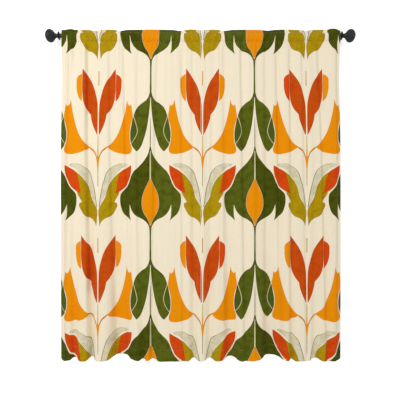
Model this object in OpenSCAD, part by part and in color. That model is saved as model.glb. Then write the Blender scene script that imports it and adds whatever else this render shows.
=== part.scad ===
// A pair of rod-pocket window curtains on a telescoping rod with ball finials and two wall brackets.
// Millimetres. +X runs right along the rod, +Y runs into the wall and +Z is up.
// The origin is the middle of the four wall-screw holes, on the wall, level with the rod's axis.

/* [Curtains] */
// Width of one curtain as it hangs gathered on the rod
curtain_width = 896; // [880:2:896]
// Drop from the top of the heading to the bottom edge
curtain_drop = 2134; // [1200:2:2600]
// Height of the heading's top edge above the rod's axis
heading_rise = 32; // [26:1:40]
// Height of the rod pocket, from the top edge to its stitch line
pocket_height = 71; // [64:1:90]
// Gap between the two curtains where they meet
meeting_gap = 4; // [2:1:12]
// Thickness of the cloth
cloth_thickness = 2; // [1:0.5:3]
// Depth of the folds from front to back, below the heading
fold_depth = 64; // [20:2:90]
// Number of folds in one curtain
fold_count = 6; // [3:1:8]
// Width of each turned side hem
side_hem_width = 25; // [15:1:32]
// Height of the turned bottom hem
bottom_hem_height = 76; // [40:1:120]
// Drop over which the folds open out below the pocket
gather_drop = 260; // [100:10:600]

/* [Rod] */
// Distance from the wall to the rod's axis
rod_projection = 85; // [70:1:120]
// Outside diameter of the thicker, fixed tube
outer_tube_diameter = 28; // [28:0.5:30]
// Wall of both tubes
tube_wall = 1; // [0.8:0.1:1.2]
// Outside diameter of the thinner, sliding tube
inner_tube_diameter = 25; // [22:0.5:25]
// Length of each tube
tube_length = 1150; // [1000:10:1300]
// Distance between the centres of the two collars, with the rod set as it hangs
collar_span = 1832.5; // [1824:0.5:1850]
// How far the rod stands to the left of the middle of the pair of curtains
rod_offset = 4.75; // [0:0.25:6]

/* [Finials] */
// Diameter of the ball across the rod
ball_diameter = 84; // [60:1:90]
// Length of the ball along the rod, as if it were a full ellipse
ball_length = 62; // [50:1:70]
// Distance from the collar's rim to the ball's widest place
ball_reach = 56.6; // [50:0.2:64]
// Diameter of the neck where it is thinnest
neck_diameter = 26.8; // [20:0.2:30]
// Diameter of the collar's sharp rim
collar_diameter = 55; // [44:1:60]
// Diameter of the stud that joins a finial to the rod
stud_diameter = 8; // [6:0.5:10]

/* [Brackets] */
// Distance from the middle to each bracket
bracket_reach = 872; // [868:1:876]
// Width of a wall plate
plate_width = 24; // [20:1:26]
// Height of a wall plate
plate_height = 76; // [70:1:84]
// Thickness of a wall plate
plate_thickness = 3; // [2:0.5:5]
// Diameter of each wall-screw hole
screw_hole_diameter = 5; // [4:0.5:6]
// Distance between the two screw holes of a plate
screw_hole_spacing = 50; // [44:1:56]
// Width of the cradle that holds the rod
cradle_width = 14; // [10:1:16]
// Wall of the cradle
cradle_wall = 2.5; // [2:0.5:3]
// Diameter of the clamping screw's thread
clamp_screw_diameter = 5; // [4:0.5:6]

/* [Hidden] */
LEFT = -1;
RIGHT = 1;
BLACK = "#1b1b1d";
NYLON = "#3a3a3c";
CREAM = "#efe3cb";
CREAM_HEM = "#e6d8bd";
$fn = 96;

// clearances
slide_clearance = 0.05;   // running fits, on the radius
turn_gap = 0.3;           // faces that turn past each other
pocket_slack = 0.4;       // between the rod and the pocket's bore, on the radius
piece_gap = 0.4;          // between a leading hem and the cloth beside it

outer_radius = outer_tube_diameter / 2;
inner_radius = inner_tube_diameter / 2;
stud_radius = stud_diameter / 2;
function tube_radius(side) = side == LEFT ? outer_radius : inner_radius;

// the two ends of the rod: distances named "out" run outward from the collar's rim
collar_x = [-collar_span / 2 - rod_offset, collar_span / 2 - rod_offset];
tube_end_out = -2;
collar_inner_out = -6.5;
collar_outer_out = 5;
finial_base_out = collar_outer_out + turn_gap;
neck_out = 15;
shoulder_out = 37.7;
finial_end_out = ball_reach + ball_length / 2;
plug_depth = 22;
stud_in_plug = 18;
stud_in_finial = 24;

// the curtains, drawn on the right-hand side and mirrored for the left
curtain_start = meeting_gap / 2;
curtain_end = curtain_start + curtain_width;
panel_start = curtain_start + side_hem_width;
panel_end = curtain_end - side_hem_width;
pocket_end = bracket_reach - 34;
stitch_z = heading_rise - pocket_height;
bottom_z = heading_rise - curtain_drop;
hem_top_z = bottom_z + bottom_hem_height;
gather_z = stitch_z - gather_drop;
fold_height = fold_depth / 2 - cloth_thickness / 2;
gathered_height = 2.5;
steps_per_fold = 12;
side_hem_thickness = 1.5 * cloth_thickness;
bottom_hem_thickness = 2 * cloth_thickness;
bore_radius = outer_radius + pocket_slack;

// the brackets
cradle_lip_z = 4;
arm_height = 14;
arm_width = 10;
foot_diameter = 22;
foot_depth = 4;
boss_diameter = 11;
boss_drop = 5.5;
knob_diameter = 13;
knob_height = 7;
knob_top_gap = 3;
knob_grips = 12;
flap_face = outer_radius + slide_clearance + cradle_wall + 0.8;
flap_seam = 30;
flap_overlap = 1;

// ---- placing ----

module along_rod() translate([0, -rod_projection, 0]) rotate([0, 90, 0]) children();

module at_end(side)
    translate([collar_x[side == LEFT ? 0 : 1], -rod_projection, 0]) rotate([0, side * 90, 0]) children();

module at_bracket(side) translate([side * bracket_reach, -rod_projection, 0]) children();

module on_side(side) mirror([side == LEFT ? 1 : 0, 0, 0]) children();

module tube(from, to, radius, bore)
    along_rod() translate([0, 0, from]) difference() {
        cylinder(h = to - from, r = radius);
        translate([0, 0, -1]) cylinder(h = to - from + 2, r = bore);
    }

// ---- rod ----

outer_tube_start = collar_x[0] - tube_end_out;
outer_tube_end = outer_tube_start + tube_length;
inner_tube_end = collar_x[1] + tube_end_out;
inner_tube_start = inner_tube_end - tube_length;
sleeve_depth = 40;
sleeve_lip = 3;

module outer_tube()
    color(BLACK) tube(outer_tube_start, outer_tube_end, outer_radius, outer_radius - tube_wall);

module inner_tube()
    color(BLACK) tube(inner_tube_start, inner_tube_end, inner_radius, inner_radius - tube_wall);

module glide_sleeve() color(NYLON) {
    bore = inner_radius + slide_clearance;
    tube(outer_tube_end - sleeve_depth, outer_tube_end, outer_radius - tube_wall, bore);
    tube(outer_tube_end, outer_tube_end + sleeve_lip, outer_radius, bore);
}

module end_plug(side) color(NYLON) at_end(side) difference() {
    translate([0, 0, tube_end_out - plug_depth]) cylinder(h = plug_depth, r = tube_radius(side) - tube_wall);
    translate([0, 0, tube_end_out - plug_depth - 1])
        cylinder(h = plug_depth + 2, r = stud_radius + slide_clearance);
}

// a sharp-rimmed ring that caps the tube's end
module collar(side) color(BLACK) at_end(side) rotate_extrude() polygon([
    [tube_radius(side), collar_inner_out],
    [tube_radius(side) + 2, collar_inner_out],
    [collar_diameter / 2, -0.5],
    [collar_diameter / 2, 0.5],
    [16.5, collar_outer_out],
    [stud_radius + 0.6, collar_outer_out],
    [stud_radius + 0.6, tube_end_out],
    [tube_radius(side), tube_end_out]
]);

// ---- finials ----

function ball_radius(out) = ball_diameter / 2 * sqrt(max(0, 1 - pow(2 * (out - ball_reach) / ball_length, 2)));
function throat_radius(out) = neck_diameter / 2
    + (ball_radius(shoulder_out) - neck_diameter / 2) * pow((out - neck_out) / (shoulder_out - neck_out), 1.5);
function base_radius(out) = neck_diameter / 2 + 2.2 * pow((neck_out - out) / (neck_out - finial_base_out), 2);
function finial_radius(out) =
    out < neck_out ? base_radius(out) : out < shoulder_out ? throat_radius(out) : ball_radius(out);

finial_points = [
    for (out = [finial_base_out : 2.425 : neck_out]) [base_radius(out), out],
    for (step = [1 : 8]) let (out = neck_out + step * (shoulder_out - neck_out) / 8) [finial_radius(out), out],
    for (turn = [-30 : 8 : 82]) [ball_diameter / 2 * cos(turn), ball_reach + ball_length / 2 * sin(turn)],
    [0, finial_end_out]
];

module finial(side) color(BLACK) at_end(side) difference() {
    rotate_extrude() polygon(concat([[0, finial_base_out]], finial_points));
    translate([0, 0, finial_base_out - 1]) cylinder(h = stud_in_finial + 1, r = stud_radius);
}

module finial_stud(side) color("silver") at_end(side)
    translate([0, 0, tube_end_out - stud_in_plug])
        cylinder(h = stud_in_plug - tube_end_out + finial_base_out + stud_in_finial, r = stud_radius);

// ---- brackets ----

module wall_plate(side) color(BLACK) difference() {
    translate([side * bracket_reach - plate_width / 2, -plate_thickness, -plate_height / 2])
        cube([plate_width, plate_thickness, plate_height]);
    for (end = [-1, 1])
        translate([side * bracket_reach, -plate_thickness - 1, end * screw_hole_spacing / 2]) rotate([-90, 0, 0])
            cylinder(h = plate_thickness + 2, d = screw_hole_diameter);
}

// the arm, its round foot, the open-topped cradle and the boss for the clamping screw
module bracket_arm(side) {
    seat = tube_radius(side) + slide_clearance;
    shell = seat + cradle_wall;
    arm_length = rod_projection - plate_thickness;
    color(BLACK) at_bracket(side) difference() {
        union() {
            rotate([0, 90, 0]) cylinder(h = cradle_width, r = shell, center = true);
            translate([-arm_width / 2, seat + cradle_wall / 2, -arm_height / 2])
                cube([arm_width, arm_length - seat - cradle_wall / 2, arm_height]);
            translate([0, arm_length, 0]) rotate([90, 0, 0]) cylinder(h = foot_depth, d = foot_diameter);
            translate([0, 0, -shell - boss_drop]) cylinder(h = boss_drop + cradle_wall, d = boss_diameter);
        }
        rotate([0, 90, 0]) cylinder(h = cradle_width + 2, r = seat, center = true);
        translate([-cradle_width / 2 - 1, -shell - 1, cradle_lip_z])
            cube([cradle_width + 2, shell + seat + 1, shell]);
        translate([0, 0, -shell - boss_drop - 1])
            cylinder(h = shell + boss_drop, d = clamp_screw_diameter + 2 * slide_clearance);
    }
}

module clamp_screw(side) {
    tip = -tube_radius(side) - turn_gap;
    knob_top = -tube_radius(side) - slide_clearance - cradle_wall - boss_drop - knob_top_gap;
    color(BLACK) at_bracket(side) {
        translate([0, 0, knob_top]) cylinder(h = tip - knob_top, d = clamp_screw_diameter);
        translate([0, 0, knob_top - knob_height]) difference() {
            cylinder(h = knob_height, d = knob_diameter);
            for (grip = [0 : knob_grips - 1]) rotate([0, 0, grip * 360 / knob_grips])
                translate([knob_diameter / 2 + 0.3, 0, -1]) cylinder(h = knob_height + 2, r = 1, $fn = 24);
        }
    }
}

// ---- cloth ----

function fold_angle(x) = 360 * fold_count * (x - curtain_start) / curtain_width;
function fold_y(x, height) = -rod_projection + height * sin(fold_angle(x));
function fold_slope(x, height) = height * 2 * PI * fold_count / curtain_width * cos(fold_angle(x));
function half_cloth(x, height, thickness) = thickness / 2 * sqrt(1 + pow(fold_slope(x, height), 2));

// one level of a hanging strip: along the front face, then back along the rear face
function strip_ring(xs, level, thickness) = let (z = level[0], height = level[1], back = level[2]) [
    for (x = xs) [x, fold_y(x, height) + back - half_cloth(x, height, thickness), z],
    for (i = [len(xs) - 1 : -1 : 0])
        [xs[i], fold_y(xs[i], height) + back + half_cloth(xs[i], height, thickness), z]
];

// cloth from one x to another, through levels of [z, fold height, step back] from the top down;
// both faces split along the same diagonals, so the cloth keeps its thickness where the folds open out
module hanging_strip(from, to, thickness, levels) {
    steps = max(2, round((to - from) * fold_count * steps_per_fold / curtain_width));
    xs = [for (i = [0 : steps]) from + i * (to - from) / steps];
    around = 2 * len(xs);
    bottom = (len(levels) - 1) * around;
    polyhedron(
        points = [for (level = levels) each strip_ring(xs, level, thickness)],
        faces = [
            for (i = [0 : steps - 1]) each let (j = around - 1 - i) [
                [i, j, j - 1, i + 1],
                [bottom + i + 1, bottom + j - 1, bottom + j, bottom + i]
            ],
            for (k = [0 : len(levels) - 2], i = [0 : around - 1]) let (
                a = k * around + i,
                b = k * around + (i + 1) % around
            ) each i < len(xs)
                ? [[a, b, b + around], [a, b + around, a + around]]
                : [[a, b, a + around], [b, b + around, a + around]]
        ]
    );
}

// outline of cloth that goes round a bore and closes to a narrow foot below and a crest above
module pocket_outline(radius, half, low, high) {
    foot = [half, low];
    side = atan2(low, half) + acos(radius / norm(foot));
    touch = radius * [cos(side), sin(side)];
    circle(radius);
    polygon([touch, foot, [-foot.x, foot.y], [-touch.x, touch.y]]);
    translate([-half, 0]) square([2 * half, high]);
}

module pocket_tunnel(from, to) translate([from, -rod_projection, 0]) rotate([90, 0, 90])
    linear_extrude(to - from) difference() {
        pocket_outline(bore_radius + cloth_thickness, cloth_thickness + 0.5, stitch_z, heading_rise);
        pocket_outline(bore_radius, 0.5, stitch_z + 3, 1);
    }

// part of the single front layer that hides a bracket, between two distances in front of the rod's axis
module front_flap(from, to, far, near)
    translate([from, -rod_projection - far, stitch_z]) cube([to - from, far - near, pocket_height]);

module panel(side) color(CREAM) on_side(side)
    hanging_strip(panel_start + piece_gap, panel_end, cloth_thickness,
        [[stitch_z, gathered_height, 0], [gather_z, fold_height, 0], [hem_top_z, fold_height, 0]]);

module rod_pocket(side) color(CREAM_HEM) on_side(side) {
    pocket_tunnel(panel_start + piece_gap, pocket_end);
    front_flap(pocket_end, panel_end, flap_face + cloth_thickness, flap_face);
    front_flap(pocket_end - flap_seam, pocket_end, flap_face + cloth_thickness, bore_radius + 1);
}

// the leading hem keeps its own end of the pocket, a loop that slides on the rod
module leading_hem(side) color(CREAM_HEM) on_side(side) {
    pocket_tunnel(curtain_start, panel_start);
    hanging_strip(curtain_start, panel_start, side_hem_thickness,
        [[stitch_z + 1.5, gathered_height / 2, 0], [gather_z, fold_height, 0], [bottom_z, fold_height, 0]]);
}

// the outer hem hangs in front of the bracket down to the stitch line, then joins the folds
module outer_hem(side) color(CREAM_HEM) on_side(side) {
    front_flap(panel_end, curtain_end, flap_face + side_hem_thickness, flap_face);
    hanging_strip(panel_end, curtain_end, side_hem_thickness, [
        [stitch_z + 1.5, gathered_height / 2, -flap_face - side_hem_thickness / 2 - flap_overlap],
        [gather_z, fold_height, 0],
        [bottom_z, fold_height, 0]
    ]);
}

module bottom_hem(side) color(CREAM_HEM) on_side(side)
    hanging_strip(panel_start + piece_gap, panel_end, bottom_hem_thickness,
        [[hem_top_z, fold_height, 0], [bottom_z, fold_height, 0]]);

outer_tube();
inner_tube();
glide_sleeve();
end_plug(LEFT);  // left_end_plug
end_plug(RIGHT);  // right_end_plug
collar(LEFT);  // left_collar
collar(RIGHT);  // right_collar
finial(LEFT);  // left_finial
finial(RIGHT);  // right_finial
finial_stud(LEFT);  // left_finial_stud
finial_stud(RIGHT);  // right_finial_stud
wall_plate(LEFT);  // left_wall_plate
wall_plate(RIGHT);  // right_wall_plate
bracket_arm(LEFT);  // left_bracket_arm
bracket_arm(RIGHT);  // right_bracket_arm
clamp_screw(LEFT);  // left_clamp_screw
clamp_screw(RIGHT);  // right_clamp_screw
panel(LEFT);  // left_panel
panel(RIGHT);  // right_panel
rod_pocket(LEFT);  // left_rod_pocket
rod_pocket(RIGHT);  // right_rod_pocket
leading_hem(LEFT);  // left_leading_hem
leading_hem(RIGHT);  // right_leading_hem
outer_hem(LEFT);  // left_outer_hem
outer_hem(RIGHT);  // right_outer_hem
bottom_hem(LEFT);  // left_bottom_hem
bottom_hem(RIGHT);  // right_bottom_hem
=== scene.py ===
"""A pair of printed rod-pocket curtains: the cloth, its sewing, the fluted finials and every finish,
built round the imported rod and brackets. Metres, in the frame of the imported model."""

import math

import bmesh
import bpy
from mathutils import Matrix, Vector, noise


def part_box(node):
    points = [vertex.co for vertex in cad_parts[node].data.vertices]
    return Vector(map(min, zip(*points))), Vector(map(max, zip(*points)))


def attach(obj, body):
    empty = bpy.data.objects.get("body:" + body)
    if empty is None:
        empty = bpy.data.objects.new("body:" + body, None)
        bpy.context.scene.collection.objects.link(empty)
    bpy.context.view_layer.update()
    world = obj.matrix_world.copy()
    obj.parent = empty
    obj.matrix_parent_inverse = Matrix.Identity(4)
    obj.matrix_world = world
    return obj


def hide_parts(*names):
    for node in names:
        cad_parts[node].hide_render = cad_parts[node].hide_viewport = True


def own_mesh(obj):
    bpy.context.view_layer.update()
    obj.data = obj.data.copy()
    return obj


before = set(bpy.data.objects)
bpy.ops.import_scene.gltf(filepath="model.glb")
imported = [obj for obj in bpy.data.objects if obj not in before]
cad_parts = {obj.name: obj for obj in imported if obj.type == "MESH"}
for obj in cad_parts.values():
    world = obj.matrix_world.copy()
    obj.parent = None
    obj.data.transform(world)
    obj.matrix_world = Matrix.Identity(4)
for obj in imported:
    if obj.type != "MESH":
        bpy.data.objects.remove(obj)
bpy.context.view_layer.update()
scene = bpy.context.scene
MM = 0.001
SIDES = {"left": -1, "right": 1}

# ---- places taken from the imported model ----

rod_low, rod_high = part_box("outer_tube")
ROD_Y = (rod_low.y + rod_high.y) / 2
pocket_low, pocket_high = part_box("right_rod_pocket")
STITCH_Z, HEADING_Z = pocket_low.z, pocket_high.z
hem_low, hem_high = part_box("right_bottom_hem")
BOTTOM_Z, HEM_TOP_Z = hem_low.z, hem_high.z
PANEL_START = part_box("right_leading_hem")[1].x
PANEL_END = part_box("right_outer_hem")[0].x
CLOTH_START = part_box("right_leading_hem")[0].x - 1 * MM
CLOTH_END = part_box("right_outer_hem")[1].x
arm_low, arm_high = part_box("right_bracket_arm")
ARM_CLEARANCE = 34 * MM
POCKET_END = (arm_low.x + arm_high.x) / 2 - ARM_CLEARANCE
DROP = STITCH_Z - BOTTOM_Z
POCKET_TALL = HEADING_Z - STITCH_Z

# ---- camera ----

CAMERA_BACK = 2.6
CAMERA_LENS = 36.3
CAMERA_X = -6.4 * MM
CAMERA_BELOW_MIDDLE = 30 * MM
FACE_Y = ROD_Y - 15 * MM
camera = bpy.data.objects.new("camera", bpy.data.cameras.new("camera"))
scene.collection.objects.link(camera)
camera.location = (CAMERA_X, FACE_Y - CAMERA_BACK, (HEADING_Z + BOTTOM_Z) / 2 - CAMERA_BELOW_MIDDLE)
camera.rotation_euler = (math.radians(90), 0, 0)
camera.data.lens = CAMERA_LENS
camera.data.sensor_width = 36
scene.camera = camera

# ---- how the cloth hangs ----

CLOTH_THICK = 1.4 * MM
HEM_THICK = 2.0 * MM
SEWN_GAP = 1.2 * MM
# how far the cloth stands before the rod's axis: the layer that passes the bracket, and the panel lower down
FLAP_REACH = 18.6 * MM
FRONT_REACH = 34 * MM
# how far below the stitch line the gathers last, the folds are all there and the panel is fully forward
GATHER_DROP, SPREAD_DROP, FORWARD_DROP = 0.26, 0.03, 0.8
PUCKER_PITCH, PUCKER_DEPTH = 31 * MM, 2.6 * MM
FOLD_WANDER, FOLD_EDGE = 12 * MM, 24 * MM
# a crease is steep on its left and slopes away on its right
CREASE_LEFT, CREASE_RIGHT = 9 * MM, 27 * MM
CURL_REACH, CURL_DEPTH = 36 * MM, 13 * MM
# how far the hem rides up where a fold goes back, in its ripple and at the outer corner
FOLD_LIFT, RIPPLE_LIFT, CORNER_LIFT = 27 * MM, 3 * MM, 17 * MM
# folds that fall back towards the wall: centre, width and depth of each, as it is at the hem
FOLDS = (
    (-0.814, 0.038, 0.034), (-0.706, 0.036, 0.030), (-0.520, 0.104, 0.072), (-0.373, 0.026, 0.018),
    (-0.305, 0.040, 0.018), (-0.048, 0.036, 0.026), (0.055, 0.045, 0.026), (0.193, 0.064, 0.044),
    (0.454, 0.100, 0.064), (0.582, 0.024, 0.016), (0.735, 0.046, 0.028),
)
# creases that fall from the pocket to the hem: place at the pocket, place at the hem and depth of each
PLEATS = (
    (-0.851, -0.863, 0.009), (-0.739, -0.713, 0.022), (-0.596, -0.553, 0.009), (-0.507, -0.439, 0.012),
    (-0.413, -0.393, 0.007), (-0.281, -0.320, 0.009), (-0.127, -0.114, 0.008), (-0.058, -0.043, 0.005),
    (0.079, 0.049, 0.007), (0.144, 0.163, 0.008), (0.260, 0.285, 0.014), (0.362, 0.358, 0.007),
    (0.414, 0.420, 0.008), (0.491, 0.511, 0.015), (0.575, 0.581, 0.011), (0.657, 0.677, 0.008),
    (0.760, 0.813, 0.016), (0.884, 0.877, 0.014),
)
# places where the heading's top edge dips: centre, half width and depth of each
HEADING_DIPS = (
    (-0.890, 0.045, 0.008), (-0.690, 0.030, 0.007), (-0.525, 0.030, 0.008), (-0.138, 0.036, 0.008),
    (0.151, 0.040, 0.008), (0.428, 0.042, 0.008), (0.682, 0.030, 0.006), (0.898, 0.020, 0.014),
)
# half of the pocket's outline from the stitch line up to the heading's fold: half gap and height
POCKET_OUTLINE = tuple(
    (gap * MM, height * MM)
    for gap, height in (
        (1.2, -39), (8.5, -28), (15.2, -11), (16.4, 0), (13.6, 10.5), (6.2, 17.5), (2.2, 22), (1.7, 34),
        (0.2, 38.6),
    )
)


def smooth(share):
    """0 to 1 with a soft start and a soft end."""
    share = min(1.0, max(0.0, share))
    return share * share * (3 - 2 * share)


def soft_step(distance):
    """0 far before an edge and 1 far beyond it."""
    return 0.5 + 0.5 * math.tanh(distance)


def along(points, share):
    """A point on a smooth curve through the points, at a share of the way along their list."""
    at = min(max(share, 0.0), 1.0) * (len(points) - 1)
    i = min(int(at), len(points) - 2)
    t = at - i
    before, a = points[max(i - 1, 0)], points[i]
    b, after = points[i + 1], points[min(i + 2, len(points) - 1)]
    return [
        0.5 * (2 * q + (r - p) * t + (2 * p - 5 * q + 4 * r - s) * t * t + (3 * q - p - 3 * r + s) * t**3)
        for p, q, r, s in zip(before, a, b, after)
    ]


def fallen(z):
    """Share of the drop from the stitch line to the hem."""
    return min(1.0, max(0.0, (STITCH_Z - z) / DROP))


def fold_back(x, z):
    """How far the folds carry the cloth towards the wall, as at the hem."""
    wander = FOLD_WANDER * noise.noise(Vector((x * 1.6, 3.1, z * 1.2))) * math.sin(math.pi * fallen(z))
    total = 0.0
    for centre, width, depth in FOLDS:
        edge = min(FOLD_EDGE, 0.3 * width)
        away = x + wander - centre
        total += depth * (soft_step((away + width / 2) / edge) - soft_step((away - width / 2) / edge))
    return total


def pucker(x):
    """The small gathers at the pocket, from -1 to 1."""
    return (0.7 * math.sin(2 * math.pi * x / PUCKER_PITCH + 5 * noise.noise(Vector((x * 4.0, 0.4, 0.0))))
            + 0.6 * noise.noise(Vector((x * 48.0, 7.7, 0.0))))


def crease(x, z):
    """Long soft creases that run down the whole curtain."""
    down = fallen(z)
    pleats = 0.0
    for top, hem, depth in PLEATS:
        away = x - top - (hem - top) * down
        pleats += depth * math.exp(-((away / (CREASE_LEFT if away < 0 else CREASE_RIGHT)) ** 2))
    return (pleats + 2.4 * MM * noise.noise(Vector((x * 17.0, 1.3, z * 0.7)))
            + 1.9 * MM * noise.noise(Vector((x * 43.0, 5.9, z * 1.3))))


def at_bracket(x):
    """0 where the pocket goes round the rod, 1 where its front layer hangs before the bracket."""
    return smooth((abs(x) - POCKET_END + 20 * MM) / (22 * MM))


def curl(x):
    """How far the curtain's outer edge curls towards the wall."""
    return max(0.0, (abs(x) - CLOTH_END + CURL_REACH) / CURL_REACH) ** 2.5


def cloth_y(x, z):
    """The cloth's middle surface below the stitch line."""
    below, down = STITCH_Z - z, fallen(z)
    near_pocket = math.exp(-below / (0.45 * GATHER_DROP))
    opened = 0.12 + 0.88 * down**2.4
    forward = FRONT_REACH * smooth(below / FORWARD_DROP)
    before_bracket = (FLAP_REACH - SEWN_GAP) * at_bracket(x) * (1 - smooth(below / GATHER_DROP))
    spread = 1 - math.exp(-below / SPREAD_DROP)
    turned = opened * fold_back(x, z) + crease(x, z) + CURL_DEPTH * curl(x) * down
    return (ROD_Y - SEWN_GAP - forward - before_bracket + spread * turned
            + PUCKER_DEPTH * pucker(x) * near_pocket)


def hem_lift(x, z):
    """The hem rides up where a fold goes back, and at the curtain's outer corner."""
    lift = FOLD_LIFT * (1 - math.exp(-max(0.0, fold_back(x, BOTTOM_Z)) / 0.03))
    lift += RIPPLE_LIFT * (1 + noise.noise(Vector((x * 13.0, 8.2, 0.0)))) + CORNER_LIFT * curl(x)
    return lift * fallen(z) ** 9


def hang(x, z):
    """Where a point of the cloth below the stitch line hangs."""
    return Vector((x, cloth_y(x, z), z + hem_lift(x, z)))


def heading_drop(x):
    """How far the heading's top edge lies below its highest places."""
    dips = sum(depth * math.exp(-(((x - centre) / half) ** 2)) for centre, half, depth in HEADING_DIPS)
    return dips - 2.4 * MM * noise.noise(Vector((x * 11.0, 2.2, 0.0)))


def pocket_front(x, share):
    """The pocket's front layer, from the stitch line up to the top of the heading."""
    gap, z = along(POCKET_OUTLINE, share)
    crest = smooth((z - 17 * MM) / (14 * MM))
    slack = smooth((z - STITCH_Z) / (14 * MM)) * (1 - smooth((z - 8 * MM) / (13 * MM)))
    sewn = 1 - slack
    shifted = at_bracket(x)
    y = -gap * (1 - shifted) - FLAP_REACH * shifted
    y -= slack * 3.2 * MM * (1 + pucker(x)) + 0.6 * MM * slack * noise.noise(Vector((x * 30, 1.0, z * 60)))
    y += sewn * PUCKER_DEPTH * pucker(x) * (1 - 0.8 * shifted)
    lean = 5.5 * MM * noise.noise(Vector((x * 8.5, 9.1, 0.0))) - 2.0 * MM * pucker(x)
    y += crest * (1 - shifted) * lean
    return Vector((x, ROD_Y + y, z - crest * heading_drop(x)))


def pocket_back(x, share):
    """The pocket's back layer. It meets the front layer at the stitch line and again in the heading."""
    front = pocket_front(x, share)
    gap, z = along(POCKET_OUTLINE, share)
    sewn = 1 - smooth((z - STITCH_Z) / (12 * MM))
    heading = smooth((z - 15 * MM) / (6 * MM))
    together = max(sewn, heading)
    apart = ROD_Y + gap + 1.4 * MM * (1 + pucker(x + 7 * MM))
    return Vector((x, (front.y + 2 * gap) * together + apart * (1 - together), front.z))


# ---- building helpers ----

STITCH_LONG, STITCH_GAP, THREAD_THICK = 3.0 * MM, 0.7 * MM, 0.45 * MM
STITCH_PROUD = 0.12 * MM


def new_piece(name, bm, body, slot, *materials):
    """A visible piece made from the bmesh. It rides on a body; its slot argument is not used."""
    mesh = bpy.data.meshes.new(name)
    bm.to_mesh(mesh)
    bm.free()
    mesh.shade_smooth()
    piece = bpy.data.objects.new(name, mesh)
    scene.collection.objects.link(piece)
    for material in materials:
        mesh.materials.append(material)
    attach(piece, body)
    return piece


def woven_sheet(name, low_x, high_x, step, rows, place, printed, body, thick, materials,
                kept=None):
    """A sheet that starts as a flat grid, takes its print's place in its UV map and is then hung."""

    def across(at):
        return low_x + (at.x + 0.5) * (high_x - low_x)

    bm = bmesh.new()
    columns = max(2, round((high_x - low_x) / step))
    bmesh.ops.create_grid(bm, x_segments=columns, y_segments=rows, size=0.5)
    uv = bm.loops.layers.uv.new("cloth")
    for face in bm.faces:
        for loop in face.loops:
            loop[uv].uv = (across(loop.vert.co), printed(loop.vert.co.y + 0.5))
    if kept:
        middles = {face: face.calc_center_median() for face in bm.faces}
        gone = [face for face, at in middles.items() if not kept(across(at), at.y + 0.5)]
        bmesh.ops.delete(bm, geom=gone, context="FACES")
    for vert in bm.verts:
        vert.co = place(across(vert.co), vert.co.y + 0.5)
    piece = new_piece(name, bm, body, "printed_cloth", *materials)
    shell = piece.modifiers.new("thickness", "SOLIDIFY")
    shell.thickness = thick
    shell.offset = 0
    shell.material_offset = len(materials) - 1
    even = piece.modifiers.new("even shading", "WEIGHTED_NORMAL")
    even.weight = 100
    return piece


def sew(name, path, length, body):
    """A row of lockstitches along path(share), which gives a point on the cloth and the way out of it."""
    bm = bmesh.new()
    size = Matrix.Diagonal((STITCH_LONG / 2, THREAD_THICK / 2, THREAD_THICK / 2, 1))
    count = int(length / (STITCH_LONG + STITCH_GAP))
    for i in range(count):
        here, outward = path((i + 0.5) / count)
        ahead = path((i + 0.6) / count)[0] - path((i + 0.4) / count)[0]
        ahead.normalize()
        side = outward.cross(ahead).normalized()
        up = ahead.cross(side)
        turn = Matrix((ahead, side, up)).transposed().to_4x4()
        laid = Matrix.Translation(here) @ turn @ size
        bmesh.ops.create_icosphere(bm, subdivisions=1, radius=1, matrix=laid)
    return new_piece(name, bm, body, "thread", thread_material)


# ---- node helpers ----


def add(tree, kind, inputs=None, **settings):
    """A new node with its settings. An input is set to its value, or linked when that is a node's socket."""
    made = tree.nodes.new("ShaderNode" + kind)
    for key, value in settings.items():
        setattr(made, key, value)
    for key, value in (inputs or {}).items():
        if isinstance(value, bpy.types.NodeSocket):
            tree.links.new(value, made.inputs[key])
        else:
            made.inputs[key].default_value = value
    return made


def calc(tree, operation, *values):
    return add(tree, "Math", dict(enumerate(values)), operation=operation).outputs[0]


def ramp(tree, value, low, high, to_low=0.0, to_high=1.0, shape="SMOOTHSTEP"):
    inputs = {"Value": value, "From Min": low, "From Max": high, "To Min": to_low, "To Max": to_high}
    return add(tree, "MapRange", inputs, interpolation_type=shape).outputs["Result"]


def blended(tree, share, below, above):
    return add(tree, "Mix", {0: share, 6: below, 7: above}, data_type="RGBA").outputs[2]


def srgb(*paint):
    """A paint-chart colour, 0 to 255, as the linear colour that a shader takes."""
    shares = [value / 255 for value in paint]
    return (*(s / 12.92 if s <= 0.04045 else ((s + 0.055) / 1.055) ** 2.4 for s in shares), 1.0)


def new_group(name, inputs, outputs):
    """A node group with its two end nodes. Both dictionaries give the kind of each socket by its name."""
    group = bpy.data.node_groups.new(name, "ShaderNodeTree")
    for way, sockets in (("INPUT", inputs), ("OUTPUT", outputs)):
        for key, kind in sockets.items():
            group.interface.new_socket(key, in_out=way, socket_type="NodeSocket" + kind)
    return group, group.nodes.new("NodeGroupInput"), group.nodes.new("NodeGroupOutput")


def use(tree, group, inputs):
    return add(tree, "Group", inputs, node_tree=group)


def new_material(name, **constants):
    """A material with a Principled shader whose constant values are set on its own sockets."""
    material = bpy.data.materials.new(name)
    material.use_nodes = True
    shader = material.node_tree.nodes["Principled BSDF"]
    for key, value in constants.items():
        shader.inputs[key.replace("_", " ")].default_value = value
    return material, material.node_tree, shader


# ---- the print ----

# the repeat's half width and height, the axis of one flower, and how far below the rod's axis a row starts
HALF_REPEAT = 334.75 * MM
DOWN_REPEAT = 1077.6 * MM
FLOWER_X = 10 * MM
ROW_TOP = 165.6 * MM
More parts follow.
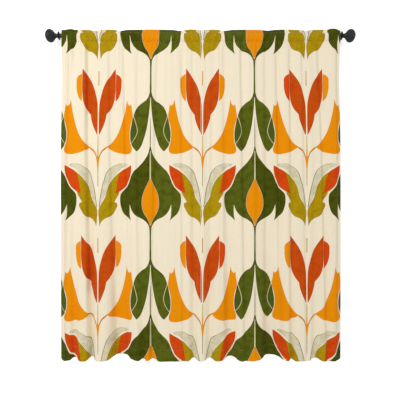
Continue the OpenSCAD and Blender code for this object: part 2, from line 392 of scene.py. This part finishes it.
# most buds are amber, and these, by their distance along the rod, are coral
UPPER_CORAL_BUDS, LOWER_CORAL_BUDS = (-0.545, 0.545), (0.135, 0.805)
BUD_REACH = 0.05
BETWEEN_BUD_ROWS_Z = -0.7
CREAM, CREAM_DEEP = srgb(246, 234, 208), srgb(235, 221, 192)
LEAF, LEAF_DARK = srgb(90, 98, 20), srgb(58, 64, 4)
LEAF_FAR_SIDE, LEAF_SHADE = srgb(76, 82, 8), srgb(52, 54, 2)
LEAF_COOL = srgb(74, 88, 24)
AMBER, AMBER_DARK = srgb(238, 146, 0), srgb(220, 126, 0)
BRICK, BRICK_DARK = srgb(202, 78, 8), srgb(182, 58, 6)
CORAL, CORAL_DARK = srgb(216, 74, 8), srgb(192, 58, 6)
MUSTARD, MUSTARD_DARK = srgb(184, 152, 6), srgb(132, 104, 0)
PALE_STEM = srgb(205, 190, 120)
OCHRE = srgb(198, 134, 30)
SKETCH, SKETCH_DARK = srgb(220, 212, 176), srgb(128, 122, 78)
PEN = srgb(78, 74, 44)

# Edges of the motifs in millimetres: how far down the repeat, and how far out from the motif's own axis.
PETAL_NEAR = ((48, 106), (84, 81), (148, 42), (212, 20), (275, 7), (320, 4.5), (486, 4.5))
PETAL_FAR = ((48, 106), (110, 107), (212, 105), (264, 98), (315, 78), (350, 52), (373, 49), (425, 33),
             (486, 4))
BUD_NEAR = ((84, 109), (262, 107))
BUD_FAR = ((84, 111), (103, 137), (148, 144), (193, 141), (225, 133), (248, 122), (262, 108))
BELL_NEAR = ((254, 180), (296, 174), (360, 161), (425, 143), (483, 120), (534, 84), (560, 56),
             (578, 81), (594, 116), (603, 160))
BELL_FAR = ((254, 182), (285, 192), (298, 209), (364, 221), (418, 208), (470, 201), (530, 205), (580, 216),
            (599, 206), (605, 172))
TIP_NEAR, TIP_FAR = ((284, 209), (304, 196)), ((284, 211), (330, 216))
ARM_NEAR = ((558, 56), (570, 37), (592, 18), (628, 5), (650, 0))
ARM_FAR = ((556, 64), (572, 51), (592, 28), (620, 14), (650, 8))
GOLD_STEM = ((575, 3.5), (612, 4), (640, 8), (669, 6), (698, 3))
HANGING_NEAR = ((238, 2), (296, 4.5), (380, 13.5), (457, 27), (521, 46), (554, 59), (580, 78), (588, 89))
HANGING_FAR = ((167, 5), (215, 8), (251, 24), (277, 58), (306, 87), (351, 106), (412, 121), (483, 130),
               (547, 120), (576, 100), (588, 89))
VEIN = ((358, 110), (386, 101), (420, 91), (457, 85), (490, 93), (538, 122))
LEAF_FAR = ((560, 4), (605, 15), (650, 42), (689, 78), (727, 113), (769, 131), (850, 141), (926, 134),
            (965, 120), (998, 94), (1030, 39), (1052, 17), (1077, 6.5))
LOBE_NEAR = ((770, 131), (800, 110), (926, 134), (985, 134), (1011, 131), (1032, 124))
LOBE_FAR = ((770, 132), (812, 151), (836, 171), (858, 190), (888, 196), (946, 190), (985, 174), (1008, 150),
            (1032, 124))
STEM_FAR = ((0, 7), (30, 5), (120, 4.5), (200, 5), (240, 1.5))
DROP_FAR = ((763, 2), (798, 17), (837, 36), (870, 48), (914, 54), (950, 51), (991, 36), (1020, 17),
            (1062, 3))
SKETCH_NEAR = ((668, 128), (689, 87), (721, 58), (766, 42), (837, 23), (901, 13), (946, 7))
SKETCH_FAR = ((664, 160), (671, 187), (698, 146), (740, 107), (785, 75), (850, 55), (901, 30), (946, 12))
SMALL_NEAR = ((677, 211), (695, 178), (716, 146), (753, 128), (805, 118), (858, 109))
SMALL_FAR = ((677, 213), (734, 208), (779, 192), (821, 167), (858, 110))
MUSTARD_NEAR = ((716, 145), (747, 107), (785, 78), (830, 60), (882, 46), (927, 21), (959, 6), (1030, 7),
                (1068, 11))
MUSTARD_FAR = ((716, 146), (740, 138), (805, 129), (856, 132), (885, 116), (912, 100), (922, 118), (969, 104),
               (1001, 81), (1020, 43), (1046, 18), (1068, 12))
# thin straight stems and veins, each side of their axis
LEAF_MIDRIB, HANGING_MIDRIB = ((586, 2.5), (700, 4), (775, 5)), ((372, 0.8), (450, 2), (580, 2.4))
PALE_STEM_SIDE, DARK_STEM_SIDE = ((489, 3), (640, 3.5)), ((690, 2.4), (811, 2))
STAMEN_SIDE = ((66, 3), (160, 3))
# the places in these edges where they turn a sharp corner
SHARP = {(560, 56), (912, 100), (350, 52), (298, 209), (926, 134)}


def edge_of(tree, down, points):
    """The distance out from the axis of one edge of a motif, for every place down the repeat."""
    start, end = points[0][0], points[-1][0]
    curve = tree.nodes.new("ShaderNodeFloatCurve")
    knots = curve.mapping.curves[0].points
    for i, (at, out) in enumerate(points):
        spot = ((at - start) / (end - start), out * MM / HALF_REPEAT)
        if i < 2:
            knots[i].location = spot
            knot = knots[i]
        else:
            knot = knots.new(*spot)
        knot.handle_type = "VECTOR" if (at, out) in SHARP else "AUTO"
    curve.mapping.update()
    tree.links.new(ramp(tree, down, start * MM, end * MM, shape="LINEAR"), curve.inputs["Value"])
    return calc(tree, "MULTIPLY", curve.outputs[0], HALF_REPEAT)


def between_ends(tree, down, points):
    """How far a place is from the nearer end of an edge, in metres: negative beyond its ends."""
    return calc(tree, "MINIMUM", calc(tree, "SUBTRACT", down, points[0][0] * MM),
                calc(tree, "SUBTRACT", points[-1][0] * MM, down))


def inside(tree, out, down, far, near=None):
    """How far inside a motif a place is, in metres: negative outside it."""
    past_far = calc(tree, "SUBTRACT", edge_of(tree, down, far), out)
    depth = calc(tree, "MINIMUM", between_ends(tree, down, far), past_far)
    if near:
        depth = calc(tree, "MINIMUM", depth, calc(tree, "SUBTRACT", out, edge_of(tree, down, near)))
    return depth


def paint_group():
    """Lays one ink over the cloth: mottled inside, darker along the motif's edge."""
    inputs = {"Under": "Color", "Inside": "Float", "Mottle": "Float", "Ink": "Color", "Dark": "Color",
              "Rim": "Float"}
    tree, given, result = new_group("paint_motif", inputs, {"Color": "Color"})
    depth = given.outputs["Inside"]
    rim = ramp(tree, depth, 0.0, given.outputs["Rim"], 0.75, 0.0)
    dark = calc(tree, "MAXIMUM", rim, given.outputs["Mottle"])
    ink = blended(tree, dark, given.outputs["Ink"], given.outputs["Dark"])
    laid = ramp(tree, depth, -0.0008, 0.0008)
    tree.links.new(blended(tree, laid, given.outputs["Under"], ink), result.inputs["Color"])
    return tree


def print_group():
    """The whole repeat of flowers and leaves, mirrored about every axis, from a place on the flat cloth."""
    tree, given, result = new_group("leaf_and_flower_print", {"Cloth": "Vector"}, {"Color": "Color"})
    paint = paint_group()

    def do(operation, *values):
        return calc(tree, operation, *values)

    def clouds(scale, detail):
        return add(tree, "TexNoise", {"Vector": cloth, "Scale": scale, "Detail": detail}).outputs[0]

    def on_leaf(far, near=None):
        return inside(tree, from_leaf, down, far, near)

    def on_flower(far, near=None):
        return inside(tree, from_flower, down, far, near)

    def lay(under, depth, ink, dark, rim=6 * MM, tone=None):
        tone = mottle if tone is None else tone
        values = {"Under": under, "Inside": depth, "Mottle": tone, "Ink": ink, "Dark": dark, "Rim": rim}
        return use(tree, paint, values).outputs[0]

    def near_any(places):
        return do("MAXIMUM", *(do("COMPARE", x, place, BUD_REACH) for place in places))

    cloth = given.outputs["Cloth"]
    place = add(tree, "SeparateXYZ", {0: cloth})
    x, z = place.outputs[0], place.outputs[1]
    past_flower = do("SUBTRACT", x, FLOWER_X)
    from_flower = do("PINGPONG", past_flower, HALF_REPEAT)
    from_leaf = do("SUBTRACT", HALF_REPEAT, from_flower)
    down = do("FLOORED_MODULO", do("MULTIPLY_ADD", z, -1.0, -ROW_TOP), DOWN_REPEAT)

    # tones that vary over the cloth
    cloud, grain = clouds(26.0, 3.0), clouds(160.0, 2.0)
    mottle = ramp(tree, cloud, 0.42, 0.72, 0.0, 0.55)
    faint = do("MULTIPLY", mottle, 0.35)
    speck = ramp(tree, grain, 0.42, 0.68)
    patchy = do("MULTIPLY", do("ADD", mottle, speck), 0.5)
    slant = do("SINE", do("MULTIPLY_ADD", x, 620.0, do("MULTIPLY", z, 480.0)))
    hatch = do("MULTIPLY", ramp(tree, slant, 0.55, 1.0), ramp(tree, cloud, 0.4, 0.6, 0.15, 0.7))
    colour = blended(tree, ramp(tree, grain, 0.35, 0.75, 0.0, 0.5), CREAM, CREAM_DEEP)

    # on the leaf's axis, where the half that is further from the middle of the pair is the darker one
    beyond_axis = ramp(tree, do("ABSOLUTE", past_flower), HALF_REPEAT - 1 * MM, HALF_REPEAT + 1 * MM)
    leaf = do("MAXIMUM", on_leaf(LEAF_FAR), on_leaf(LOBE_FAR, LOBE_NEAR))
    colour = lay(colour, leaf, blended(tree, beyond_axis, LEAF, LEAF_FAR_SIDE),
                 blended(tree, beyond_axis, LEAF_DARK, LEAF_SHADE), tone=do("MAXIMUM", mottle, hatch))
    colour = lay(colour, on_leaf(LEAF_MIDRIB), SKETCH, PALE_STEM, 1 * MM)
    drop = on_leaf(DROP_FAR)
    colour = lay(colour, do("ADD", drop, 1.6 * MM), CREAM, PALE_STEM, 1 * MM)
    colour = lay(colour, drop, AMBER, AMBER_DARK, tone=faint)
    colour = lay(colour, on_leaf(STEM_FAR), LEAF, LEAF_DARK, 2 * MM)
    hanging = on_leaf(HANGING_FAR, HANGING_NEAR)
    colour = lay(colour, hanging, LEAF, LEAF_DARK)
    past_vein = do("SUBTRACT", from_leaf, edge_of(tree, down, VEIN))
    by_vein = do("MINIMUM", between_ends(tree, down, VEIN), hanging)
    colour = lay(colour, do("MINIMUM", past_vein, by_vein), LEAF_COOL, LEAF)
    vein = do("SUBTRACT", 2 * MM, do("ABSOLUTE", past_vein))
    colour = lay(colour, do("MINIMUM", vein, by_vein), SKETCH, PALE_STEM, 1 * MM)
    colour = lay(colour, on_leaf(HANGING_MIDRIB), LEAF, LEAF_DARK, 1 * MM)

    # on the flower's axis
    bell = do("MAXIMUM", on_flower(BELL_FAR, BELL_NEAR), on_flower(TIP_FAR, TIP_NEAR))
    colour = lay(colour, bell, AMBER, AMBER_DARK, tone=faint)
    colour = lay(colour, on_flower(ARM_FAR, ARM_NEAR), OCHRE, AMBER_DARK, 1 * MM)
    colour = lay(colour, on_flower(PALE_STEM_SIDE), PALE_STEM, OCHRE, 1 * MM)
    colour = lay(colour, on_flower(GOLD_STEM), AMBER, OCHRE, 1 * MM)
    colour = lay(colour, on_flower(DARK_STEM_SIDE), SKETCH_DARK, PALE_STEM, 1 * MM)
    colour = lay(colour, on_flower(PETAL_FAR, PETAL_NEAR), BRICK, BRICK_DARK, 5 * MM)
    colour = lay(colour, on_flower(STAMEN_SIDE), OCHRE, PALE_STEM, 1 * MM)
    upper = do("GREATER_THAN", z, BETWEEN_BUD_ROWS_Z)
    lower = do("SUBTRACT", 1.0, upper)
    coral = do("MAXIMUM", do("MULTIPLY", upper, near_any(UPPER_CORAL_BUDS)),
               do("MULTIPLY", lower, near_any(LOWER_CORAL_BUDS)))
    colour = lay(colour, on_flower(BUD_FAR, BUD_NEAR), blended(tree, coral, AMBER, CORAL),
                 blended(tree, coral, AMBER_DARK, CORAL_DARK), tone=faint)

    # the leaves that cup the flower
    shaded = do("MAXIMUM", hatch, do("MULTIPLY", patchy, 0.35))
    colour = lay(colour, on_flower(SKETCH_FAR, SKETCH_NEAR), blended(tree, speck, SKETCH, CREAM),
                 SKETCH_DARK, 1 * MM, shaded)
    off_line = do("ABSOLUTE", do("SUBTRACT", edge_of(tree, down, SKETCH_NEAR), from_flower))
    pen = do("MINIMUM", do("SUBTRACT", 1.8 * MM, off_line), between_ends(tree, down, SKETCH_NEAR))
    colour = lay(colour, pen, PEN, SKETCH_DARK, 1 * MM)
    colour = lay(colour, on_flower(MUSTARD_FAR, MUSTARD_NEAR), MUSTARD, MUSTARD_DARK, tone=patchy)
    colour = lay(colour, on_flower(SMALL_FAR, SMALL_NEAR), CORAL, CORAL_DARK)
    tree.links.new(colour, result.inputs["Color"])
    return tree


# ---- the cloth's weave and the coatings ----

THREADS_PER_METRE = 900.0
# how quickly a thread's tone varies across it and along it
SLUB_ACROSS, SLUB_ALONG = 420.0, 9.0
DRIFT_SCALE = 24.0
FADED_CLOTH = srgb(240, 231, 214)


def weave_group():
    """Plain weave: crossing threads that give height, and slubs that vary the tone along them."""
    outputs = {"Height": "Float", "Slub": "Float"}
    tree, given, result = new_group("plain_weave", {"Cloth": "Vector"}, outputs)
    place = add(tree, "SeparateXYZ", {0: given.outputs["Cloth"]})
    turns = THREADS_PER_METRE * math.pi
    warp = calc(tree, "SINE", calc(tree, "MULTIPLY", place.outputs[0], turns))
    weft = calc(tree, "SINE", calc(tree, "MULTIPLY", place.outputs[1], turns))
    over = calc(tree, "MULTIPLY_ADD", calc(tree, "MULTIPLY", warp, weft), 0.5, 0.5)
    slubs = []
    for stretch in ((SLUB_ACROSS, SLUB_ALONG, 1.0), (SLUB_ALONG, SLUB_ACROSS, 1.0)):
        drawn = add(tree, "VectorMath", {0: given.outputs["Cloth"], 1: stretch}, operation="MULTIPLY")
        streak = add(tree, "TexNoise", {"Vector": drawn.outputs[0], "Scale": 1.0, "Detail": 2.0})
        slubs.append(streak.outputs[0])
    slub = calc(tree, "MULTIPLY", calc(tree, "ADD", *slubs), 0.5)
    tree.links.new(calc(tree, "MULTIPLY_ADD", slub, 0.6, over), result.inputs["Height"])
    tree.links.new(slub, result.inputs["Slub"])
    return tree


def powder_group():
    """Powder coat: orange peel for the height, a slow drift of the gloss, and dust on what faces up."""
    inputs = {"Place": "Vector", "Peel": "Float"}
    outputs = {"Height": "Float", "Drift": "Float", "Dust": "Float"}
    tree, given, result = new_group("powder_coat", inputs, outputs)
    at = given.outputs["Place"]
    peel = add(tree, "TexNoise", {"Vector": at, "Scale": given.outputs["Peel"], "Detail": 2.0})
    drift = add(tree, "TexNoise", {"Vector": at, "Scale": DRIFT_SCALE, "Detail": 4.0})
    facing = add(tree, "SeparateXYZ", {0: add(tree, "NewGeometry").outputs["Normal"]})
    upward = ramp(tree, facing.outputs[2], 0.3, 1.0)
    dust = calc(tree, "MULTIPLY", upward, ramp(tree, drift.outputs[0], 0.4, 0.8))
    tree.links.new(peel.outputs[0], result.inputs["Height"])
    tree.links.new(drift.outputs[0], result.inputs["Drift"])
    tree.links.new(dust, result.inputs["Dust"])
    return tree


the_print, the_weave, the_powder = print_group(), weave_group(), powder_group()


def cloth_material(name, show_through):
    """The curtain's face, or with some show-through its reverse, where the print is faint."""
    material, tree, shader = new_material(name, Sheen_Weight=0.06, Sheen_Roughness=0.4,
                                          Specular_IOR_Level=0.08)
    at = add(tree, "UVMap", uv_map="cloth").outputs[0]
    colour = use(tree, the_print, {"Cloth": at}).outputs[0]
    if show_through < 1:
        colour = blended(tree, show_through, FADED_CLOTH, colour)
    weave = use(tree, the_weave, {"Cloth": at})
    shade = ramp(tree, weave.outputs["Slub"], 0.35, 0.65, 0.955, 1.0, "LINEAR")
    tinted = add(tree, "VectorMath", {0: colour, "Scale": shade}, operation="SCALE").outputs[0]
    tree.links.new(tinted, shader.inputs["Base Color"])
    tree.links.new(ramp(tree, weave.outputs["Slub"], 0.3, 0.7, 0.92, 0.80), shader.inputs["Roughness"])
    bump = add(tree, "Bump", {"Height": weave.outputs["Height"], "Strength": 0.35, "Distance": 0.15 * MM})
    tree.links.new(bump.outputs[0], shader.inputs["Normal"])
    return material


def coated_material(name, colour, dust, smooth_side, rough_side, metallic, peel=900.0):
    """A dark finish with a fine orange peel, and a trace of dust where it faces up."""
    material, tree, shader = new_material(name, Metallic=metallic, Specular_IOR_Level=0.5)
    at = add(tree, "TexCoord").outputs["Object"]
    coat = use(tree, the_powder, {"Place": at, "Peel": peel})
    dusty = calc(tree, "MULTIPLY", coat.outputs["Dust"], 0.5)
    rough = ramp(tree, coat.outputs["Drift"], 0.3, 0.7, smooth_side, rough_side)
    tree.links.new(blended(tree, dusty, colour, dust), shader.inputs["Base Color"])
    tree.links.new(rough, shader.inputs["Roughness"])
    bump = add(tree, "Bump", {"Height": coat.outputs["Height"], "Strength": 0.25, "Distance": 0.08 * MM})
    tree.links.new(bump.outputs[0], shader.inputs["Normal"])
    return material


def drawn_steel_material():
    """Bright drawn steel, with fine lines round the stud."""
    material, tree, shader = new_material("drawn_steel", Metallic=1.0)
    at = add(tree, "TexCoord").outputs["Object"]
    lines = add(tree, "TexWave", {"Vector": at, "Scale": 260.0, "Distortion": 2.0, "Detail": 2.0})
    tree.links.new(blended(tree, lines.outputs[1], srgb(196, 197, 200), srgb(168, 169, 173)),
                   shader.inputs["Base Color"])
    tree.links.new(ramp(tree, lines.outputs[1], 0.0, 1.0, 0.24, 0.42), shader.inputs["Roughness"])
    return material


def sewing_thread_material():
    """Cream spun thread, whose two plies show as slanting bands."""
    material, tree, shader = new_material("sewing_thread", Sheen_Weight=0.3, Specular_IOR_Level=0.25)
    at = add(tree, "TexCoord").outputs["Object"]
    twist = add(tree, "TexWave", {"Vector": at, "Scale": 420.0, "Distortion": 1.0},
                bands_direction="DIAGONAL")
    tree.links.new(blended(tree, twist.outputs[1], srgb(246, 236, 216), srgb(214, 200, 174)),
                   shader.inputs["Base Color"])
    tree.links.new(ramp(tree, twist.outputs[1], 0.0, 1.0, 0.7, 0.9), shader.inputs["Roughness"])
    bump = add(tree, "Bump", {"Height": twist.outputs[1], "Strength": 0.5, "Distance": 0.08 * MM})
    tree.links.new(bump.outputs[0], shader.inputs["Normal"])
    return material


face_material = cloth_material("printed_face", 1.0)
reverse_material = cloth_material("printed_reverse", 0.34)
thread_material = sewing_thread_material()
DUST = srgb(92, 92, 92)
rod_material = coated_material("rod_satin_black", srgb(30, 30, 38), DUST, 0.30, 0.42, 0.35)
bracket_material = coated_material("bracket_satin_black", srgb(27, 27, 30), DUST, 0.38, 0.52, 0.2)
finial_material = coated_material(
    "finial_carved_black", srgb(17, 17, 18), srgb(66, 66, 66), 0.36, 0.5, 0.1, 600.0)
nylon_material = coated_material(
    "nylon_charcoal", srgb(48, 48, 50), srgb(96, 96, 96), 0.45, 0.6, 0.0, 1400.0)
steel_material = drawn_steel_material()

# ---- the rod, brackets and hardware keep their CAD shapes ----

FINISHES = {
    "rod_black": (rod_material, ("outer_tube", "inner_tube", "left_collar", "right_collar")),
    "bracket_black": (bracket_material, tuple(
        f"{side}_{part}" for side in SIDES for part in ("wall_plate", "bracket_arm", "clamp_screw"))),
    "nylon": (nylon_material, ("glide_sleeve", "left_end_plug", "right_end_plug")),
    "steel": (steel_material, ("left_finial_stud", "right_finial_stud")),
}
for slot_name, (finish, node_names) in FINISHES.items():
    for node_name in node_names:
        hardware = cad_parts[node_name]
        hardware.data.materials.clear()
        hardware.data.materials.append(finish)

# ---- finials ----

FLUTES, POINTS_PER_FLUTE, OUTLINE_STEPS = 12, 14, 110
# the fluting, in millimetres: where it starts, how soon it is full, how deep, and the plain band round it
FLUTED_RADIUS, FLUTED_OVER, FLUTE_DEEP = 17, 12, 3.6
BAND_OUT, BAND_HALF = 56.6, 3.4
COLLAR_LAP = 5 * MM
# the finial's outline: distance out from its seat inside the collar, and radius, all in millimetres
FINIAL_OUTLINE = (
    (5.3, 4.2), (5.3, 15.6), (9, 14.1), (15, 13.4), (20, 15.3), (26, 20.0), (32, 26.8), (38, 33.6),
    (45, 38.9), (51, 41.4), (56.6, 42), (62, 41.3), (69, 38.4), (76, 32.6), (82, 24.2), (85.6, 15),
    (87.2, 7), (87.6, 0),
)


def flute_depth(out, radius):
    """How deep the carving is at a place on the finial. The neck, the middle band and the tip are plain."""
    band = math.exp(-(((out - BAND_OUT) / BAND_HALF) ** 2))
    return FLUTE_DEEP * smooth((radius - FLUTED_RADIUS) / FLUTED_OVER) * (1 - band)


def carve(name, side):
    """A turned and fluted finial: its outline is spun round the rod's axis and the flutes are pushed in."""
    bm = bmesh.new()
    mouth = FINIAL_OUTLINE[0]
    curve = [along(FINIAL_OUTLINE[1:], i / OUTLINE_STEPS) for i in range(OUTLINE_STEPS + 1)]
    chain = [bm.verts.new((out, 0, max(radius, 0.0))) for out, radius in [mouth, *curve]]
    edges = [bm.edges.new(pair) for pair in zip(chain, chain[1:])]
    bmesh.ops.spin(bm, geom=chain + edges, cent=(0, 0, 0), axis=(1, 0, 0), angle=math.tau,
                   steps=FLUTES * POINTS_PER_FLUTE, use_merge=True)
    bmesh.ops.remove_doubles(bm, verts=bm.verts, dist=0.001)
    for vert in bm.verts:
        out, across = vert.co.x, Vector((0, vert.co.y, vert.co.z))
        radius = across.length
        if radius > 1e-6:
            angle = math.atan2(vert.co.z, vert.co.y)
            groove = 1 - abs(math.cos(FLUTES / 2 * angle))
            across *= (radius - flute_depth(out, radius) * groove**1.6) / radius
        vert.co = Vector((out, across.y, across.z))
    collar_low, collar_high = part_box(f"{name.split('_')[0]}_collar")
    seat = (collar_high.x if side > 0 else collar_low.x) - side * COLLAR_LAP
    fitted = Matrix.Translation((seat, ROD_Y, 0)) @ Matrix.Diagonal((side * MM, MM, MM, 1))
    bmesh.ops.transform(bm, matrix=fitted, verts=bm.verts)
    bmesh.ops.recalc_face_normals(bm, faces=bm.faces)
    piece = new_piece(f"{name}_carved", bm, name, "finial_black", finial_material)
    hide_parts(name)


for side_name, side in SIDES.items():
    carve(f"{side_name}_finial", side)

# ---- curtains ----

STEP_X, HEM_STEP_X = 5.2 * MM, 3.4 * MM
PANEL_ROWS, POCKET_ROWS, BOTTOM_ROWS, LEADING_ROWS, OUTER_ROWS = 158, 18, 24, 200, 184
# the turned hem: how far its fold is above the edge, half the gap between its layers, the fold's share of it
FOLD_UP, HALF_GAP, FOLD_SHARE = 2 * MM, 1.8 * MM, 0.04
# the rows of stitches: how far each is from the edge it holds, and where the heading's row is and ends
ROW_BELOW_POCKET, ROW_BELOW_HEM_TOP, ROW_INSIDE_SEAM, ROW_END = 2 * MM, 3 * MM, 3 * MM, 4 * MM
HEADING_ROW_SHARE = 0.74
HEADING_ROW_END = 24 * MM


def up_pocket(x, share):
    """Once round the pocket: up the front layer and down the back."""
    return pocket_front(x, 2 * share) if share <= 0.5 else pocket_back(x, 2 - 2 * share)


def round_pocket_print(share):
    """The print carries on over the heading's fold."""
    return STITCH_Z + share * 2 * POCKET_TALL


def hem_turn(x, share):
    """The bottom hem: down its turned-up back, round the fold and up its front."""
    fold_z = BOTTOM_Z + FOLD_UP
    if share < 0.5 - FOLD_SHARE:
        z = HEM_TOP_Z + (fold_z - HEM_TOP_Z) * share / (0.5 - FOLD_SHARE)
        return hang(x, z) + Vector((0, 2 * HALF_GAP, 0))
    if share > 0.5 + FOLD_SHARE:
        return hang(x, fold_z + (HEM_TOP_Z - fold_z) * (share - 0.5 - FOLD_SHARE) / (0.5 - FOLD_SHARE))
    angle = math.pi * (share - 0.5) / (2 * FOLD_SHARE)
    centre = hang(x, fold_z) + Vector((0, HALF_GAP, 0))
    return centre + Vector((0, -HALF_GAP * math.sin(angle), -HALF_GAP * math.cos(angle)))


def strip(upper_part, upper_length):
    """The place of a side hem: up the whole drop, then up the part of it that is in the pocket."""
    rise = DROP / (DROP + upper_length)

    def place(x, share):
        if share < rise:
            return hang(x, BOTTOM_Z + DROP * share / rise)
        return upper_part(x, (share - rise) / (1 - rise))

    return place


def proud(middle, across, upward, thick):
    """A point just off the front of cloth that runs across and upward there, and the way out of it."""
    outward = across.cross(upward).normalized()
    return middle + outward * (thick / 2 + STITCH_PROUD), outward


def on_face(x, z, thick):
    """A point on the front of the cloth below the stitch line, and the way out of it."""
    return proud(hang(x, z), hang(x + MM, z) - hang(x - MM, z), hang(x, z + MM) - hang(x, z - MM), thick)


def on_heading(x):
    """A point on the front of the heading, just above the rod, and the way out of it."""
    share = HEADING_ROW_SHARE
    across = pocket_front(x + MM, share) - pocket_front(x - MM, share)
    upward = pocket_front(x, share + 0.01) - pocket_front(x, share - 0.01)
    return proud(pocket_front(x, share), across, upward, CLOTH_THICK)


def curtain(side_name, side):
    """One curtain: its five sewn pieces and their stitches, and the body each one rides on."""

    def span(start, end):
        return (start, end) if side > 0 else (-end, -start)

    def row_across(row, start, end, path):
        low, high = span(start, end)
        return sew(f"{side_name}_{row}_stitches", lambda share: path(low + share * (high - low)),
                   panel_wide, body)

    def row_up(row, x, on_body):
        return sew(f"{side_name}_{row}_stitches", lambda share: on_face(
            x, BOTTOM_Z + ROW_END + share * (DROP - 2 * ROW_END), HEM_THICK), DROP, on_body)

    both, faces = (face_material, reverse_material), (face_material, face_material)
    body, edge_body = f"{side_name}_curtain", f"{side_name}_leading_edge"
    joint, anchor = f"{side_name}_curtain_draw", (side * POCKET_END, 0, 0)
    panel_span, panel_wide = span(PANEL_START, PANEL_END), PANEL_END - PANEL_START
    hem_tall, full_tall = HEM_TOP_Z - BOTTOM_Z, HEADING_Z - BOTTOM_Z

    panel = woven_sheet(
        f"{side_name}_curtain_panel", *panel_span, STEP_X, PANEL_ROWS,
        lambda x, share: hang(x, HEM_TOP_Z + share * (STITCH_Z - HEM_TOP_Z)),
        lambda share: HEM_TOP_Z + share * (STITCH_Z - HEM_TOP_Z), body, CLOTH_THICK, both)
    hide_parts(f"{side_name}_panel")

    # the pocket's back layer stops at the bracket
    pocket = woven_sheet(
        f"{side_name}_heading_pocket", *panel_span, STEP_X, 2 * POCKET_ROWS, up_pocket, round_pocket_print,
        body, CLOTH_THICK, both, kept=lambda x, share: share < 0.5 or abs(x) < POCKET_END)
    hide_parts(f"{side_name}_rod_pocket")

    bottom = woven_sheet(
        f"{side_name}_turned_hem", *panel_span, STEP_X, BOTTOM_ROWS, hem_turn,
        lambda share: BOTTOM_Z + (share - 0.5) * 2 * hem_tall, body, CLOTH_THICK, both)
    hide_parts(f"{side_name}_bottom_hem")

    leading = woven_sheet(
        f"{side_name}_leading_edge_hem", *span(CLOTH_START, PANEL_START), HEM_STEP_X, LEADING_ROWS,
        strip(up_pocket, 2 * POCKET_TALL), lambda share: BOTTOM_Z + share * (DROP + 2 * POCKET_TALL),
        edge_body, HEM_THICK, faces)
    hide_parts(f"{side_name}_leading_hem")

    outer = woven_sheet(
        f"{side_name}_outer_edge_hem", *span(PANEL_END, CLOTH_END), HEM_STEP_X, OUTER_ROWS,
        strip(pocket_front, POCKET_TALL), lambda share: BOTTOM_Z + share * full_tall,
        body, HEM_THICK, faces)
    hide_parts(f"{side_name}_outer_hem")

    pocket_row = row_across("pocket", PANEL_START, PANEL_END,
                            lambda x: on_face(x, STITCH_Z - ROW_BELOW_POCKET, CLOTH_THICK))
    heading_row = row_across("heading", PANEL_START, POCKET_END - HEADING_ROW_END, on_heading)
    hem_row = row_across("hem", PANEL_START, PANEL_END,
                         lambda x: on_face(x, HEM_TOP_Z - ROW_BELOW_HEM_TOP, CLOTH_THICK))
    leading_row = row_up("leading", side * (PANEL_START - ROW_INSIDE_SEAM), edge_body)
    outer_row = row_up("outer", side * (PANEL_END + ROW_INSIDE_SEAM), body)

    for soft in (panel, pocket, bottom, outer, pocket_row, heading_row, hem_row, outer_row):
        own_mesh(soft)
        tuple(anchor)


for side_name, side in SIDES.items():
    curtain(side_name, side)

# ---- floor, wall and light ----

FLOOR_Z = -2.62
STAGE_HALF = 7
WALL_BEHIND = 2 * MM
LAMPS_AIM = Vector((0, 0, -1.0))
WALL_GLOW, WORLD_LIGHT = 0.45, 0.675


def plane(name, size, matrix, material):
    """A square of the stage. It isn't part of the object."""
    bm = bmesh.new()
    bmesh.ops.create_grid(bm, x_segments=1, y_segments=1, size=size, matrix=matrix)
    mesh = bpy.data.meshes.new(name)
    bm.to_mesh(mesh)
    bm.free()
    mesh.materials.append(material)
    made = bpy.data.objects.new(name, mesh)
    scene.collection.objects.link(made)
    return made


def wall_material():
    """White plaster from the front, and nothing from behind, so that the curtain's back can be seen."""
    material, tree, shader = new_material("white_wall", Base_Color=(0.93, 0.93, 0.94, 1), Roughness=0.9)
    shader.inputs["Emission Color"].default_value = (1, 1, 1, 1)
    shader.inputs["Emission Strength"].default_value = WALL_GLOW
    output = tree.nodes["Material Output"]
    behind = add(tree, "NewGeometry").outputs["Backfacing"]
    clear = add(tree, "BsdfTransparent").outputs[0]
    mixed = add(tree, "MixShader", {0: behind, 1: shader.outputs[0], 2: clear})
    tree.links.new(mixed.outputs[0], output.inputs["Surface"])
    return material


floor_material = new_material("pale_floor", Base_Color=(0.86, 0.86, 0.87, 1), Roughness=0.7)[0]
plane("floor", STAGE_HALF, Matrix.Translation((0, 0, FLOOR_Z)), floor_material)
wall_middle = Matrix.Translation((0, WALL_BEHIND, FLOOR_Z + STAGE_HALF))
wall = plane("wall", STAGE_HALF, wall_middle @ Matrix.Rotation(math.radians(90), 4, "X"), wall_material())
wall.visible_diffuse = wall.visible_glossy = wall.visible_shadow = False


def lamp(name, power, size, place):
    """A square lamp that shines on the middle of the curtains."""
    light = bpy.data.lights.new(name, "AREA")
    light.energy = power
    light.size = size
    made = bpy.data.objects.new(name, light)
    scene.collection.objects.link(made)
    made.location = place
    made.rotation_euler = (LAMPS_AIM - Vector(place)).to_track_quat("-Z", "Y").to_euler()


lamp("key_light", 44, 1.5, (-2.1, -2.9, 0.2))
lamp("fill_light", 16, 2.2, (2.8, -3.2, 0.6))
lamp("back_light", 14, 1.8, (0.6, 2.6, 0.4))
world = bpy.data.worlds.new("studio")
world.use_nodes = True
sky = world.node_tree.nodes["Background"]
sky.inputs["Color"].default_value = (1.0, 1.0, 1.0, 1)
sky.inputs["Strength"].default_value = WORLD_LIGHT
scene.world = world
scene.view_settings.view_transform = "Standard"
